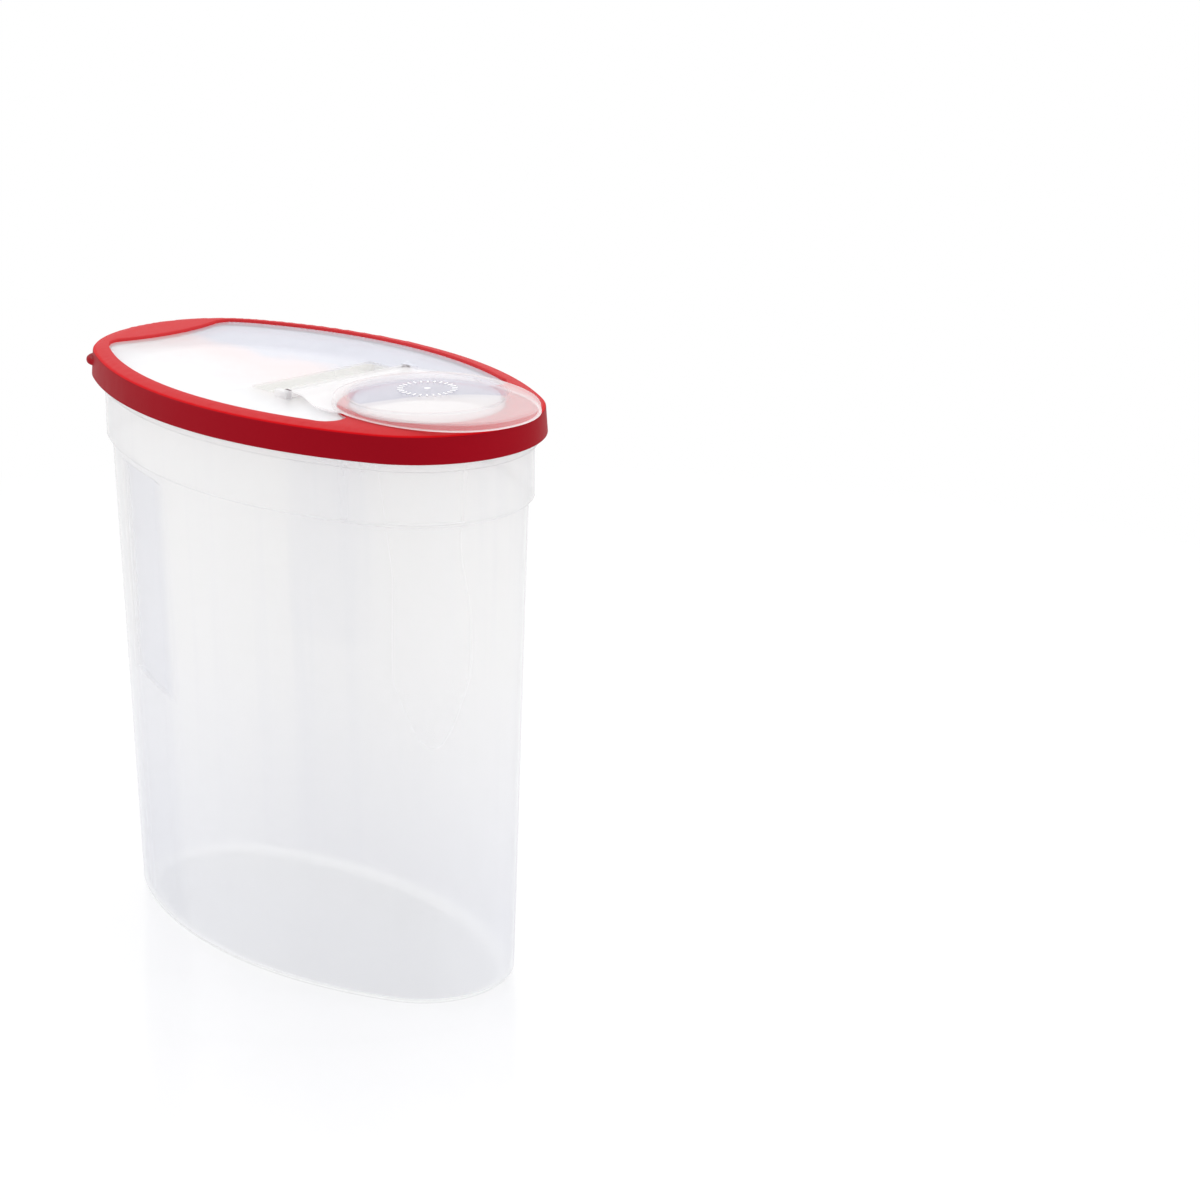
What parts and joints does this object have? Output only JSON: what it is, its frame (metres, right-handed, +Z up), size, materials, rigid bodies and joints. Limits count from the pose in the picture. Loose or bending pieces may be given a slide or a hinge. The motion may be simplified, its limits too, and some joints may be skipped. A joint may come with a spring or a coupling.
{
  "type": "cereal container with flip spout",
  "caption": "Tall oval dry food keeper with side finger grips, a lift-off lid with a clear window and pull tab, and a domed flip cap over a round pour opening.",
  "frame": {"origin": "middle of the flat base, on the surface the container stands on", "axes": "+X towards the pouring end, +Y across the oval, +Z up through the lid"},
  "size_m": [0.2575, 0.144, 0.2667],
  "materials": {
    "container": "translucent satin polypropylene",
    "panel": "clear gloss",
    "rim": "satin soft-touch",
    "cap": "translucent gloss"
  },
  "bodies": {
    "container": {"container": "container"},
    "lid": {"lid_panel": "panel", "lid_rim": "rim"},
    "cap": {"flip_cap": "cap"}
  },
  "joints": [
    {"name": "lid_lift", "type": "slide", "parent": "container", "child": "lid", "axis": [0, 0, 1], "range_m": [0, 0.06]},
    {"name": "cap_hinge", "type": "hinge", "parent": "lid", "child": "cap", "pos_m": [0.024, 0, 0.2595], "axis": [0, -1, 0], "range_deg": [0, 150]}
  ]
}
